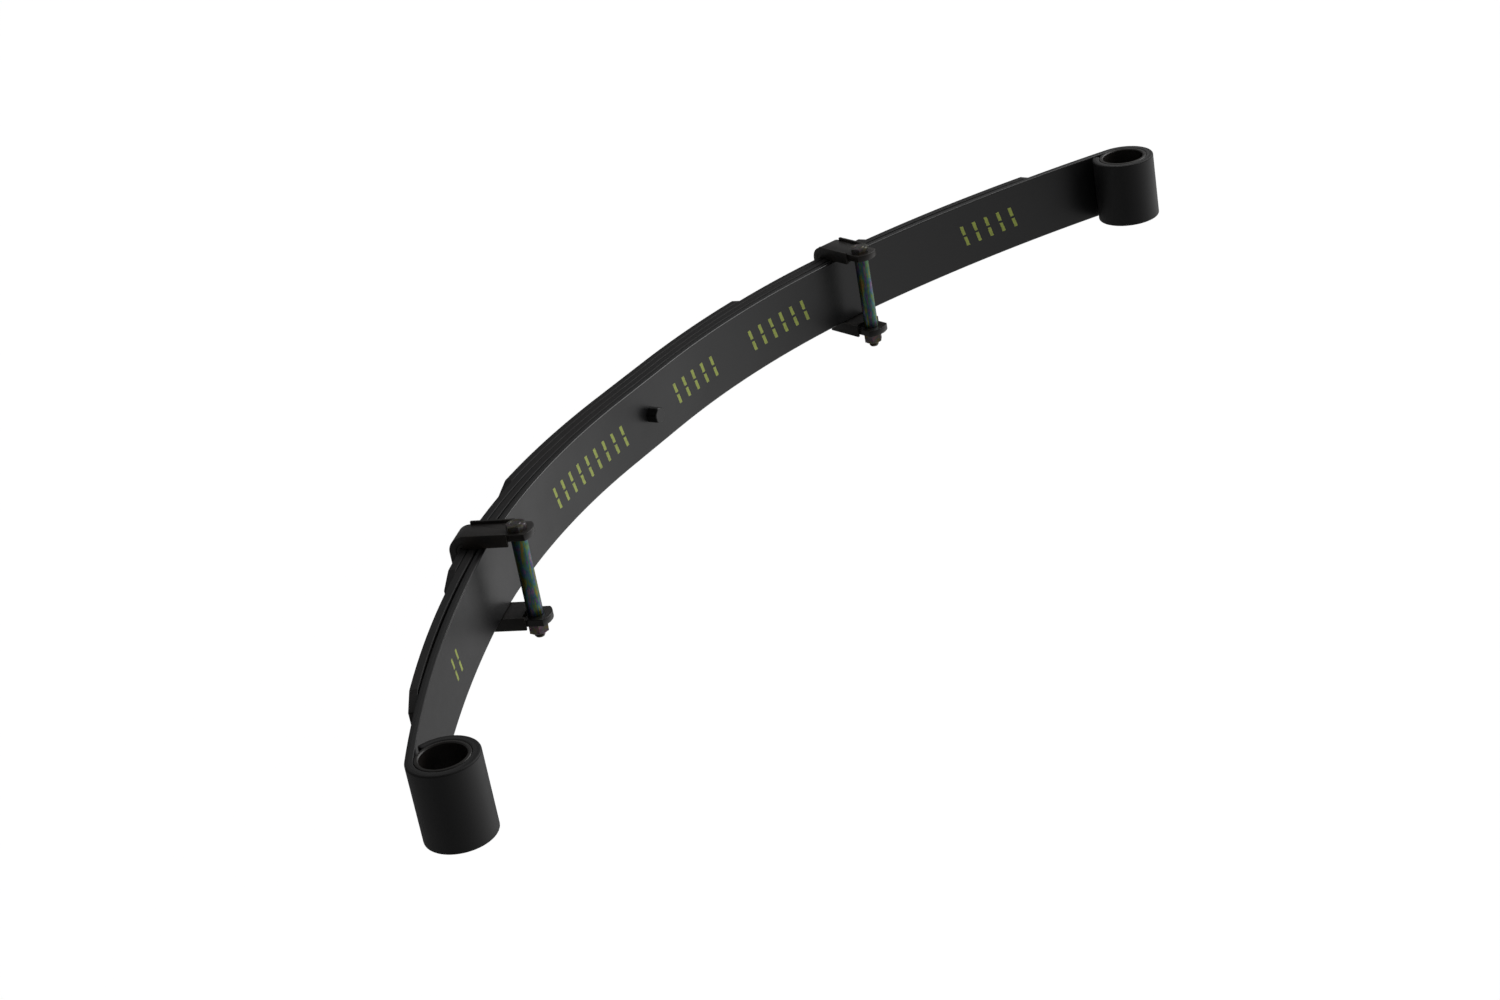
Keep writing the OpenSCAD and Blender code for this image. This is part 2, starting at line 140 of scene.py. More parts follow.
def leaf_tree():
    """A straight bar on its stations, its tips trimmed and ends rounded, then bent to its three radii."""
    tree = bpy.data.node_groups.new("bend_leaf", "GeometryNodeTree")
    face = tree.interface
    face.new_socket("Stations", in_out="INPUT", socket_type="NodeSocketGeometry")
    face.new_socket("Section", in_out="INPUT", socket_type="NodeSocketObject")
    face.new_socket("Paint", in_out="INPUT", socket_type="NodeSocketMaterial")
    for name in ("Length", "Seat", "Run 1", "Radius 1", "Run 2", "Radius 2", "Run 3", "Radius 3",
                 "Drop", "Trim length", "Trim depth", "Half width", "Thickness", "End round", "Side"):
        face.new_socket(name, in_out="INPUT", socket_type="NodeSocketFloat")
    face.new_socket("Leaf", in_out="OUTPUT", socket_type="NodeSocketGeometry")
    given = tree.nodes.new("NodeGroupInput").outputs
    made = tree.nodes.new("NodeGroupOutput").inputs
    link = tree.links.new
    line = tree.nodes.new("GeometryNodeMeshToCurve")
    link(given["Stations"], line.inputs["Mesh"])
    section = tree.nodes.new("GeometryNodeObjectInfo")
    link(given["Section"], section.inputs["Object"])
    outline = tree.nodes.new("GeometryNodeMeshToCurve")
    link(section.outputs["Geometry"], outline.inputs["Mesh"])
    bar = tree.nodes.new("GeometryNodeCurveToMesh")
    bar.inputs["Fill Caps"].default_value = True
    link(line.outputs["Curve"], bar.inputs["Curve"])
    link(outline.outputs["Curve"], bar.inputs["Profile Curve"])
    spot = tree.nodes.new("ShaderNodeSeparateXYZ")
    link(tree.nodes.new("GeometryNodeInputPosition").outputs[0], spot.inputs[0])
    along, across, level = spot.outputs

    cut = maths(tree, "SUBTRACT", given["Length"], given["Trim length"])
    cut = maths(tree, "MAXIMUM", maths(tree, "SUBTRACT", along, cut), 0.0)
    cut = maths(tree, "DIVIDE", cut, maths(tree, "MAXIMUM", given["Trim length"], 0.0001))
    cut = maths(tree, "MULTIPLY", cut, given["Trim depth"])
    last = maths(tree, "SUBTRACT", along, maths(tree, "SUBTRACT", given["Length"], given["End round"]))
    last = maths(tree, "MAXIMUM", last, 0.0)
    fall = maths(tree, "POWER", given["End round"], 2.0)
    fall = maths(tree, "SUBTRACT", fall, maths(tree, "POWER", last, 2.0))
    fall = maths(tree, "SQRT", maths(tree, "MAXIMUM", fall, 0.0))
    fall = maths(tree, "SUBTRACT", given["End round"], fall)
    left = maths(tree, "SUBTRACT", given["Half width"], maths(tree, "ADD", cut, fall))
    wide = maths(tree, "MULTIPLY", across, maths(tree, "DIVIDE", left, given["Half width"]))
    half = maths(tree, "MULTIPLY", given["Thickness"], 0.5)
    thin = maths(tree, "DIVIDE", maths(tree, "SUBTRACT", half, fall), half)
    off = maths(tree, "SUBTRACT", maths(tree, "MULTIPLY", level, thin), half)

    bent = bending_group()
    start, turn, height = given["Seat"], 0.0, maths(tree, "MULTIPLY", given["Drop"], -1.0)
    place = maths(tree, "MINIMUM", along, given["Seat"])
    for n in (1, 2, 3):
        length = tree.nodes.new("GeometryNodeGroup")
        length.node_tree = bent
        link(along, length.inputs["Along"])
        link(start, length.inputs["Start"])
        link(given[f"Run {n}"], length.inputs["Length"])
        link(given[f"Radius {n}"], length.inputs["Radius"])
        if n > 1:
            link(turn, length.inputs["Turn"])
        link(place, length.inputs["Place"])
        link(height, length.inputs["Height"])
        turn, place, height = length.outputs
        start = maths(tree, "ADD", start, given[f"Run {n}"])
    x = maths(tree, "SUBTRACT", place, maths(tree, "MULTIPLY", off, maths(tree, "SINE", turn)))
    z = maths(tree, "ADD", height, maths(tree, "MULTIPLY", off, maths(tree, "COSINE", turn)))
    there = tree.nodes.new("ShaderNodeCombineXYZ")
    link(maths(tree, "MULTIPLY", x, given["Side"]), there.inputs[0])
    link(wide, there.inputs[1])
    link(z, there.inputs[2])

    shape = bar.outputs["Mesh"]
    kept = {"along": maths(tree, "MULTIPLY", along, given["Side"]), "across": wide, "depth": off}
    for name, value in kept.items():
        note = tree.nodes.new("GeometryNodeStoreNamedAttribute")
        note.data_type = "FLOAT"
        note.domain = "POINT"
        note.inputs["Name"].default_value = name
        link(shape, note.inputs["Geometry"])
        link(value, note.inputs["Value"])
        shape = note.outputs["Geometry"]
    move = tree.nodes.new("GeometryNodeSetPosition")
    link(shape, move.inputs["Geometry"])
    link(there.outputs[0], move.inputs["Position"])
    real = tree.nodes.new("GeometryNodeRealizeInstances")
    link(move.outputs["Geometry"], real.inputs["Geometry"])
    painted = tree.nodes.new("GeometryNodeSetMaterial")
    link(real.outputs["Geometry"], painted.inputs["Geometry"])
    link(given["Paint"], painted.inputs["Material"])
    link(painted.outputs["Geometry"], made["Leaf"])
    return tree


def new_object(name, mesh, material=None):
    piece = bpy.data.objects.new(name, mesh)
    scene.collection.objects.link(piece)
    if material:
        mesh.materials.clear()
        mesh.materials.append(material)
    return piece


def settled(piece):
    """The piece's evaluated shape as its own plain mesh, with no modifiers left."""
    mesh = bpy.data.meshes.new_from_object(piece.evaluated_get(bpy.context.evaluated_depsgraph_get()))
    piece.modifiers.clear()
    piece.data = mesh
    return piece


def rounded_section(width, thick, radius, steps=5, lead=0.5 * MM):
    """The bar's outline, with a point just before and after each round corner to keep the flats flat."""
    points = []
    for k, (sx, sy) in enumerate(((1, 1), (-1, 1), (-1, -1), (1, -1))):
        cx, cy = sx * (width / 2 - radius), sy * (thick / 2 - radius)
        turns = [math.radians(90 * k) + math.radians(90) * j / steps for j in range(steps + 1)]
        first, last = turns[0], turns[-1]
        points.append((cx + radius * math.cos(first) + lead * math.sin(first),
                       cy + radius * math.sin(first) - lead * math.cos(first)))
        points += [(cx + radius * math.cos(t), cy + radius * math.sin(t)) for t in turns]
        points.append((cx + radius * math.cos(last) - lead * math.sin(last),
                       cy + radius * math.sin(last) + lead * math.cos(last)))
    mesh = bpy.data.meshes.new("section")
    ring = [(i, (i + 1) % len(points)) for i in range(len(points))]
    mesh.from_pydata([(x, y, 0) for x, y in points], ring, [])
    return new_object("section", mesh)


def stations(length, breaks, trimmed, roll_at=None):
    """Distances along the bar: even steps, finer in the roll, and close pairs where the outline turns."""
    marks = {0.0, length}
    for low, high in zip([0.0] + breaks, breaks + [length]):
        step = STEP_ROLLED if roll_at is not None and low >= roll_at - 1e-6 else STEP_PLAIN
        count = max(1, math.ceil((high - low) / step))
        marks.update(low + (high - low) * k / count for k in range(count + 1))
    if trimmed:
        marks.update((length - TRIM_LONG - 0.3 * MM, length - TRIM_LONG, length - TRIM_LONG + 0.3 * MM))
    marks.update(length - END_ROUND * (1 - math.sin(math.radians(a))) for a in (0, 22, 45, 65, 80))
    line = []
    for s in sorted(marks):
        if not line or s - line[-1] > CLOSEST:
            line.append(s)
    line[-1] = length
    mesh = bpy.data.meshes.new("stations")
    mesh.from_pydata([(s, 0, 0) for s in line], [(i, i + 1) for i in range(len(line) - 1)], [])
    return mesh


LEAF_TREE = leaf_tree()
LEAF_INPUTS = {item.name: item.identifier for item in LEAF_TREE.interface.items_tree
               if item.item_type == "SOCKET" and item.in_out == "INPUT"}
MAIN_SECTION = rounded_section(WIDTH, THICK, EDGE_ROUND)
LOW_SECTION = rounded_section(WIDTH, THICK, LOW_EDGE_ROUND)


def leaf_half(name, side, level, runs, paint, rolled=False):
    """Half of one leaf, from the centre bolt to its tip or through its eye. runs are (length, radius)."""
    length = SEAT + sum(run for run, _ in runs)
    breaks = [SEAT, SEAT + runs[0][0], SEAT + runs[0][0] + runs[1][0]]
    half = new_object(name, stations(length, breaks, not rolled, breaks[2] if rolled else None))
    bend = half.modifiers.new("bend", "NODES")
    bend.node_group = LEAF_TREE
    values = {"Section": MAIN_SECTION if rolled else LOW_SECTION, "Paint": paint, "Length": length,
              "Seat": SEAT, "Drop": level * STEP_DOWN,
              "Trim length": 0.0 if rolled else TRIM_LONG, "Trim depth": 0.0 if rolled else TRIM_DEEP,
              "Half width": WIDTH / 2, "Thickness": THICK, "End round": END_ROUND, "Side": float(side)}
    for n, (run, radius) in enumerate(runs, 1):
        values[f"Run {n}"], values[f"Radius {n}"] = run, radius
    for key, value in values.items():
        bend[LEAF_INPUTS[key]] = value
    settled(half)
    shape = bmesh.new()
    shape.from_mesh(half.data)
    bmesh.ops.remove_doubles(shape, verts=shape.verts, dist=WELD)
    bmesh.ops.recalc_face_normals(shape, faces=shape.faces)
    for f in shape.faces:
        f.smooth = len(f.verts) <= 4
    for e in shape.edges:
        e.smooth = all(len(f.verts) <= 4 for f in e.link_faces)
    shape.to_mesh(half.data)
    shape.free()
    return half


def group_input(tree, name, kind, value=None):
    socket = tree.interface.new_socket(name, in_out="INPUT", socket_type=kind)
    if value is not None:
        socket.default_value = value


def noise(tree, where, scale, detail=3.0, rough=0.55):
    node = tree.nodes.new("ShaderNodeTexNoise")
    node.inputs["Detail"].default_value = detail
    node.inputs["Roughness"].default_value = rough
    tree.links.new(where, node.inputs["Vector"])
    if isinstance(scale, (int, float)):
        node.inputs["Scale"].default_value = scale
    else:
        tree.links.new(scale, node.inputs["Scale"])
    return node.outputs["Fac"]


def mixed(tree, share, a, b):
    """A colour from a to b; each is a colour or a socket."""
    node = tree.nodes.new("ShaderNodeMix")
    node.data_type = "RGBA"
    tree.links.new(share, node.inputs[0])
    for socket, value in ((node.inputs[6], a), (node.inputs[7], b)):
        if isinstance(value, tuple):
            socket.default_value = (*value, 1.0)
        else:
            tree.links.new(value, socket)
    return node.outputs[2]


def spread(tree, value, low, high, to_low=0.0, to_high=1.0):
    node = tree.nodes.new("ShaderNodeMapRange")
    tree.links.new(value, node.inputs[0])
    for socket, number in zip(list(node.inputs)[1:5], (low, high, to_low, to_high)):
        socket.default_value = number
    return node.outputs[0]


SURFACE_OUTPUTS = (("Colour", "NodeSocketColor"), ("Roughness", "NodeSocketFloat"),
                   ("Height", "NodeSocketFloat"))


def sprayed_group():
    """Satin spray paint: a fine pebbled film, soft cloudy patches, pale dust and a brown haze."""
    tree = bpy.data.node_groups.new("sprayed_film", "ShaderNodeTree")
    group_input(tree, "Where", "NodeSocketVector")
    group_input(tree, "Film", "NodeSocketColor", (0.01, 0.01, 0.011, 1))
    group_input(tree, "Haze", "NodeSocketColor", (0.02, 0.016, 0.013, 1))
    group_input(tree, "Roughness", "NodeSocketFloat", 0.36)
    for name, kind in SURFACE_OUTPUTS:
        tree.interface.new_socket(name, in_out="OUTPUT", socket_type=kind)
    given = tree.nodes.new("NodeGroupInput").outputs
    made = tree.nodes.new("NodeGroupOutput").inputs
    cloud = noise(tree, given["Where"], 14.0, 4.0)
    pebble = noise(tree, given["Where"], 1500.0, 2.0)
    peen = noise(tree, given["Where"], 420.0, 3.0, 0.6)
    dust = spread(tree, noise(tree, given["Where"], 260.0, 5.0, 0.7), 0.66, 0.8)
    colour = mixed(tree, spread(tree, cloud, 0.42, 0.68, 0.0, 0.55), given["Film"], given["Haze"])
    colour = mixed(tree, maths(tree, "MULTIPLY", dust, 0.35), colour, (0.05, 0.048, 0.045))
    tree.links.new(colour, made["Colour"])
    rough = maths(tree, "ADD", given["Roughness"], spread(tree, cloud, 0.3, 0.7, -0.05, 0.06))
    rough = maths(tree, "ADD", rough, maths(tree, "MULTIPLY", dust, 0.12))
    tree.links.new(rough, made["Roughness"])
    height = maths(tree, "MULTIPLY_ADD", peen, 0.7, maths(tree, "MULTIPLY", pebble, 0.3))
    tree.links.new(height, made["Height"])
    return tree


SPRAYED = sprayed_group()


def new_material(name, metallic=0.0):
    material = bpy.data.materials.new(name)
    material.use_nodes = True
    tree = material.node_tree
    shader = tree.nodes["Principled BSDF"]
    shader.inputs["Metallic"].default_value = metallic
    return material, tree, shader


def object_place(tree):
    return tree.nodes.new("ShaderNodeTexCoord").outputs["Object"]


def relief(tree, shader, height, deep):
    bump = tree.nodes.new("ShaderNodeBump")
    bump.inputs["Distance"].default_value = deep
    tree.links.new(height, bump.inputs["Height"])
    tree.links.new(bump.outputs[0], shader.inputs["Normal"])


def sprayed(name, film, haze, roughness, deep=None):
    """A painted finish; returns the material, its tree and shader, and the film's node. Where deep is left
    out, whoever asks for the paint adds the relief."""
    material, tree, shader = new_material(name)
    film_node = tree.nodes.new("ShaderNodeGroup")
    film_node.node_tree = SPRAYED
    tree.links.new(object_place(tree), film_node.inputs["Where"])
    film_node.inputs["Film"].default_value = (*film, 1)
    film_node.inputs["Haze"].default_value = (*haze, 1)
    film_node.inputs["Roughness"].default_value = roughness
    tree.links.new(film_node.outputs["Colour"], shader.inputs["Base Color"])
    tree.links.new(film_node.outputs["Roughness"], shader.inputs["Roughness"])
    if deep:
        relief(tree, shader, film_node.outputs["Height"], deep)
    return material, tree, shader, film_node


def attribute(tree, name):
    node = tree.nodes.new("ShaderNodeAttribute")
    node.attribute_name = name
    return node.outputs["Fac"]


# The main leaf's hollow face carries plain inspection dashes, sprayed yellow-green through a stencil. They
# are evenly spaced slanted bars with a bridge across the middle, and they stand for no letter or number.
# A group is its first and last bar, counted from the centre bolt.
DASH_GROUPS = ((-30, -29), (-11, -3), (3, 7), (11, 16), (30, 34))
DASH_PITCH = 0.0165
DASH_WIDE = 0.0042
DASH_HALF_TALL = 0.0118
DASH_BRIDGE = 0.0013
DASH_SLANT = 0.28
DASH_COLOUR = (0.47, 0.56, 0.085)

FLAT_HALF = WIDTH / 2 - EDGE_ROUND
FADE = 3 * MM
PEBBLE_DEEP = 0.05 * MM
EDGE_SLICK = 0.08
EDGE_DULL = 0.28
OUTSIDE_DULL = 0.14


def on_leaf(name, film, haze, roughness, slick):
    """The leaves' paint: pebbled over the peened flats and smooth over the rolled edges. The edge on the
    hollow side is smoother than the flats by slick. The edge in the groove below is duller, where spray is
    thin, and so is the outer face, as the rolling leaves its scale coarser there."""
    material, tree, shader, film_node = sprayed(name, film, haze, roughness)
    across = maths(tree, "ABSOLUTE", attribute(tree, "across"))
    flat = maths(tree, "LESS_THAN", across, FLAT_HALF)
    faded = spread(tree, across, FLAT_HALF - FADE, FLAT_HALF, 1.0, 0.0)
    pebbled = maths(tree, "SUBTRACT", film_node.outputs["Height"], 0.5)
    relief(tree, shader, maths(tree, "MULTIPLY", pebbled, faded), PEBBLE_DEEP)
    hollow_side = maths(tree, "GREATER_THAN", attribute(tree, "depth"), -THICK / 2)
    change = maths(tree, "MULTIPLY_ADD", hollow_side, -slick - EDGE_DULL, EDGE_DULL)
    change = maths(tree, "MULTIPLY", change, maths(tree, "SUBTRACT", 1.0, flat))
    outside = maths(tree, "LESS_THAN", attribute(tree, "depth"), 0.3 * MM - THICK)
    change = maths(tree, "MULTIPLY_ADD", outside, OUTSIDE_DULL, change)
    tree.links.new(maths(tree, "ADD", film_node.outputs["Roughness"], change), shader.inputs["Roughness"])
    return material, tree, shader, film_node


leaf_paint, _, _, _ = on_leaf(
    "leaf_paint", (0.0085, 0.0083, 0.0086), (0.019, 0.016, 0.0145), 0.37, -EDGE_DULL)
marked_paint, tree, shader, film_node = on_leaf(
    "marked_leaf_paint", (0.0085, 0.0085, 0.0092), (0.014, 0.0132, 0.013), 0.36, EDGE_SLICK)
along, across, depth = (attribute(tree, n) for n in ("along", "across", "depth"))
ragged = maths(tree, "MULTIPLY_ADD", noise(tree, object_place(tree), 380.0, 4.0), 0.0016, -0.0008)
slanted = maths(tree, "MULTIPLY_ADD", across, DASH_SLANT, maths(tree, "ADD", along, ragged))
in_group = 0.0
for first, last in DASH_GROUPS:
    inside = maths(tree, "MULTIPLY", maths(tree, "GREATER_THAN", slanted, (first - 0.5) * DASH_PITCH),
                   maths(tree, "LESS_THAN", slanted, (last + 0.5) * DASH_PITCH))
    in_group = maths(tree, "ADD", in_group, inside)
dash = maths(tree, "LESS_THAN", maths(tree, "PINGPONG", slanted, DASH_PITCH / 2), DASH_WIDE / 2)
tall = maths(tree, "ADD", maths(tree, "ABSOLUTE", across), ragged)
dash = maths(tree, "MULTIPLY", dash, maths(tree, "LESS_THAN", tall, DASH_HALF_TALL))
dash = maths(tree, "MULTIPLY", dash, maths(tree, "GREATER_THAN", tall, DASH_BRIDGE))
dash = maths(tree, "MULTIPLY", dash, maths(tree, "GREATER_THAN", depth, -0.0003))
dash = maths(tree, "MULTIPLY", dash, in_group)
thin_spray = spread(tree, noise(tree, object_place(tree), 240.0, 4.0, 0.7), 0.3, 0.55, 0.72, 1.0)
dash = maths(tree, "MULTIPLY", dash, thin_spray)
tree.links.new(mixed(tree, dash, film_node.outputs["Colour"], DASH_COLOUR), shader.inputs["Base Color"])

MAIN_IN = (326.2 * MM, 890 * MM)
LEAVES = {
    "main": (0, [MAIN_IN, (325.8 * MM, 1600 * MM), (26 * MM * ROLL_TURN, 26 * MM)],
             [MAIN_IN, (322.8 * MM, 1600 * MM), (22.5 * MM * ROLL_TURN, 22.5 * MM)]),
    "second": (1, [(190 * MM, 930 * MM), (136 * MM, 897 * MM), (243 * MM, 1370 * MM)],
               [(190 * MM, 930 * MM), (136 * MM, 897 * MM), (239 * MM, 1370 * MM)]),
    "third": (2, [(155 * MM, 985 * MM), (171 * MM, 850 * MM), (29 * MM, 1224 * MM)],
              [(155 * MM, 985 * MM), (171 * MM, 850 * MM), (39 * MM, 1224 * MM)]),
    "fourth": (3, [(90 * MM, 1040 * MM), (42 * MM, 905 * MM), (42 * MM, 905 * MM)],
               [(90 * MM, 1040 * MM), (53 * MM, 905 * MM), (53 * MM, 905 * MM)]),
}
for leaf, (level, front_runs, rear_runs) in LEAVES.items():
    for end, side, runs in (("front", 1, front_runs), ("rear", -1, rear_runs)):
        rolled = leaf == "main"
        paint = marked_paint if rolled else leaf_paint
        half = leaf_half(f"{leaf}_leaf_{end}_half", side, level, runs, paint, rolled)
        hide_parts(f"{leaf}_leaf_{end}", f"{leaf}_leaf_centre")
        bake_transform(half)
for section in (MAIN_SECTION, LOW_SECTION):
    bpy.data.objects.remove(section)


# ---- Eye sleeves ----
# A turned steel tube is pressed into each rolled eye, flush with the leaf's edges, and takes the rubber bush.
# Its rims are broken outside and chamfered inside, and the spray has only dusted the bore.
def turned(name, rings, sides=96, material=None, sharp=32, closed=False):
    """A turned piece about local Z. A ring is (height, radius), and radius may be a function of the angle.
    Open ends are closed with a fan. A closed piece joins its last ring to its first, as a tube does."""
    verts, faces = [], []
    for height, radius in rings:
        for k in range(sides):
            t = 2 * math.pi * k / sides
            r = radius(t) if callable(radius) else radius
            verts.append((r * math.cos(t), r * math.sin(t), height))
    count = len(rings)
    for i in range(count if closed else count - 1):
        a, b = i * sides, (i + 1) % count * sides
        for k in range(sides):
            n = (k + 1) % sides
            faces.append((a + k, a + n, b + n, b + k))
    if not closed:
        for base, height in ((0, rings[0][0]), ((count - 1) * sides, rings[-1][0])):
            verts.append((0, 0, height))
            faces += [(base + k, base + (k + 1) % sides, len(verts) - 1) for k in range(sides)]
    mesh = bpy.data.meshes.new(name)
    mesh.from_pydata(verts, [], faces)
    shape = bmesh.new()
    shape.from_mesh(mesh)
    bmesh.ops.remove_doubles(shape, verts=shape.verts, dist=WELD)
    bmesh.ops.recalc_face_normals(shape, faces=shape.faces)
    shape.to_mesh(mesh)
    shape.free()
    for polygon in mesh.polygons:
        polygon.use_smooth = True
    mesh.set_sharp_from_angle(angle=math.radians(sharp))
    return new_object(name, mesh, material)


def tube_rings(outer, inner, length, rim, lead):
    """Rings of a plain tube, its outer rims rounded and its inner ones chamfered."""
    half = length / 2
    steps = [math.radians(a) for a in (0, 22.5, 45, 67.5, 90)]
    rings = [(-half + rim - rim * math.cos(t), outer - rim + rim * math.sin(t)) for t in steps]
    rings += [(half - rim + rim * math.sin(t), outer - rim + rim * math.cos(t)) for t in steps]
    return rings + [(half, inner + lead), (half - lead, inner), (-half + lead, inner), (-half, inner + lead)]


def laid_across(piece, x, z, y=0.0, turn=0.0, heads_up=True):
    """Turns a piece made about local Z to lie across the leaves, in its mesh."""
    tilt = Matrix.Rotation(math.radians(-90 if heads_up else 90), 4, "X")
    piece.data.transform(Matrix.Translation((x, y, z)) @ tilt @ Matrix.Rotation(turn, 4, "Z"))
    return piece


sleeve_paint, tree, shader, film_node = sprayed(
    "sleeve_overspray", (0.012, 0.0105, 0.0095), (0.028, 0.022, 0.017), 0.4)
rings_cut = tree.nodes.new("ShaderNodeTexWave")
rings_cut.bands_direction = "Y"
rings_cut.inputs["Scale"].default_value = 900.0
rings_cut.inputs["Distortion"].default_value = 0.6
tree.links.new(object_place(tree), rings_cut.inputs["Vector"])
height = maths(tree, "MULTIPLY_ADD", rings_cut.outputs["Fac"], 0.35, film_node.outputs["Height"])
relief(tree, shader, height, PEBBLE_DEEP)
SLEEVE_RIM = 1.0 * MM
SLEEVE_LEAD = 0.9 * MM
for end, outer, inner in (("front", 25.95 * MM, 22 * MM), ("rear", 22.45 * MM, 19 * MM)):
    low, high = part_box(f"{end}_eye_sleeve")
    rings = tube_rings(outer, inner, WIDTH, SLEEVE_RIM, SLEEVE_LEAD)
    sleeve = turned(f"{end}_sleeve", rings, 128, sleeve_paint, closed=True)
    laid_across(sleeve, (low.x + high.x) / 2, (low.z + high.z) / 2)
    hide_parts(f"{end}_eye_sleeve")
    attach(sleeve, f"{end}_arm")


# ---- Centre bolt and nut ----
# One M10 bolt goes through all four leaves. Its head stands on the hollow side and locates the spring in the
# axle pad. The nut is run up hard under the shortest leaf, and both are painted with the spring.
PITCH = 1.5 * MM
THREAD_DEEP = 0.75 * MM
SHANK = 5 * MM
POINT = 3.9 * MM
NUT_BORE = 5.05 * MM
HEX_FLATS = 17 * MM
HEX_SHARP = 14
HEAD_TURN = 42


def hexed(flats):
    """Radius of a hexagon at each angle."""
    return lambda t: flats / 2 / math.cos(t % (math.pi / 3) - math.pi / 6)


def capped(flats, circle):
    """A hexagon whose corners are turned down to a circle."""
    six = hexed(flats)
    return lambda t: min(six(t), circle)


def threaded(radius, low, high, steps=8):
    """Rings of a right-hand thread between two heights."""
    rings = []
    count = int((high - low) / PITCH * steps)
    for i in range(count + 1):
        z = low + (high - low) * i / count
        rings.append((z, lambda t, z=z: radius - THREAD_DEEP * abs(
            (z / PITCH - t / (2 * math.pi)) % 1 * 2 - 1)))
    return rings


hardware_paint, _, _, _ = sprayed(
    "painted_bolt", (0.010, 0.010, 0.0105), (0.02, 0.018, 0.016), 0.36, 0.03 * MM)
low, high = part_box("centre_bolt")
HEAD_FLATS, HEAD_CORNER = 14.6 * MM, 7.95 * MM
head = [(high.z, 5.6 * MM), (high.z, capped(HEAD_FLATS, 6.9 * MM)),
        (high.z - 0.35 * MM, capped(HEAD_FLATS, 7.5 * MM)),
        (high.z - 0.9 * MM, capped(HEAD_FLATS, HEAD_CORNER)),
        (0.2 * MM, capped(HEAD_FLATS, HEAD_CORNER)),
        (-0.05 * MM, capped(HEAD_FLATS, HEAD_CORNER - 0.3 * MM)), (-0.1 * MM, SHANK)]
stack_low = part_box("fourth_leaf_centre")[0].z
thread = list(reversed(threaded(SHANK, low.z + 1 * MM, stack_low - 5 * MM)))
rings = head + [(stack_low - 4.9 * MM, SHANK)] + thread + [(low.z, POINT)]
centre_bolt = turned("centre_bolt_turned", rings, 96, hardware_paint, HEX_SHARP)
centre_bolt.data.transform(Matrix.Rotation(math.radians(HEAD_TURN), 4, "Z"))
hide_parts("centre_bolt")
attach(centre_bolt, "centre_pack")


def nut_rings(flats, bore, tall):
    """A hexagon nut chamfered on both faces, with a countersunk bore."""
    edge = flats * 0.47
    corner = flats / 2 / math.cos(math.radians(30))
    slope = (corner - edge) * 0.55
    return [(0, edge), (slope, capped(flats, corner)), (tall - slope, capped(flats, corner)), (tall, edge),
            (tall, bore + 0.8 * MM), (tall - 0.8 * MM, bore), (0.8 * MM, bore), (0, bore + 0.8 * MM)]


low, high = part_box("centre_nut")
rings = nut_rings(HEX_FLATS, NUT_BORE, high.z - low.z)
centre_nut = turned("centre_nut_turned", rings, 96, hardware_paint, HEX_SHARP, closed=True)
centre_nut.data.transform(Matrix.Translation((0, 0, low.z)))
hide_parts("centre_nut")
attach(centre_nut, "centre_pack")


# ---- Rebound clips ----
# Each clip is a U of 26 x 6.5 mm flat bar, riveted under the third leaf. Its arms pass up both sides of the
# pack and end in round ears. A moulded liner keeps the bar off the leaves, and a bolt through a spacer tube
# closes the clip over the main leaf.
def dressed(name, node, edge, material, segments=3, limit=32):
    """A copy of a drawn shape with its sharp edges broken, as dressed bar or a moulding has them."""
    shape = bmesh.new()
    shape.from_mesh(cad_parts[node].data)
    bmesh.ops.remove_doubles(shape, verts=shape.verts, dist=2e-6)
    bmesh.ops.dissolve_limit(shape, angle_limit=math.radians(1.2), verts=shape.verts, edges=shape.edges)
    mesh = bpy.data.meshes.new(name)
    shape.to_mesh(mesh)
    shape.free()
    for polygon in mesh.polygons:
        polygon.use_smooth = True
    piece = new_object(name, mesh, material)
    broken = piece.modifiers.new("broken_edges", "BEVEL")
    broken.width = edge
    broken.segments = segments
    broken.limit_method = "ANGLE"
    broken.angle_limit = math.radians(limit)
    broken.harden_normals = True
    return settled(piece)


strap_paint, _, _, _ = sprayed(
    "strap_paint", (0.0105, 0.0092, 0.0085), (0.027, 0.0205, 0.016), 0.36, 0.04 * MM)

liner_plastic, tree, shader = new_material("liner_plastic")
shader.inputs["Specular IOR Level"].default_value = 0.4
where = object_place(tree)
haze = spread(tree, noise(tree, where, 60.0, 4.0), 0.4, 0.7)
colour = mixed(tree, haze, (0.0085, 0.0078, 0.0072), (0.021, 0.0165, 0.013))
tree.links.new(colour, shader.inputs["Base Color"])
tree.links.new(spread(tree, noise(tree, where, 90.0), 0.3, 0.7, 0.42, 0.56), shader.inputs["Roughness"])
relief(tree, shader, noise(tree, where, 1100.0, 3.0), 0.08 * MM)


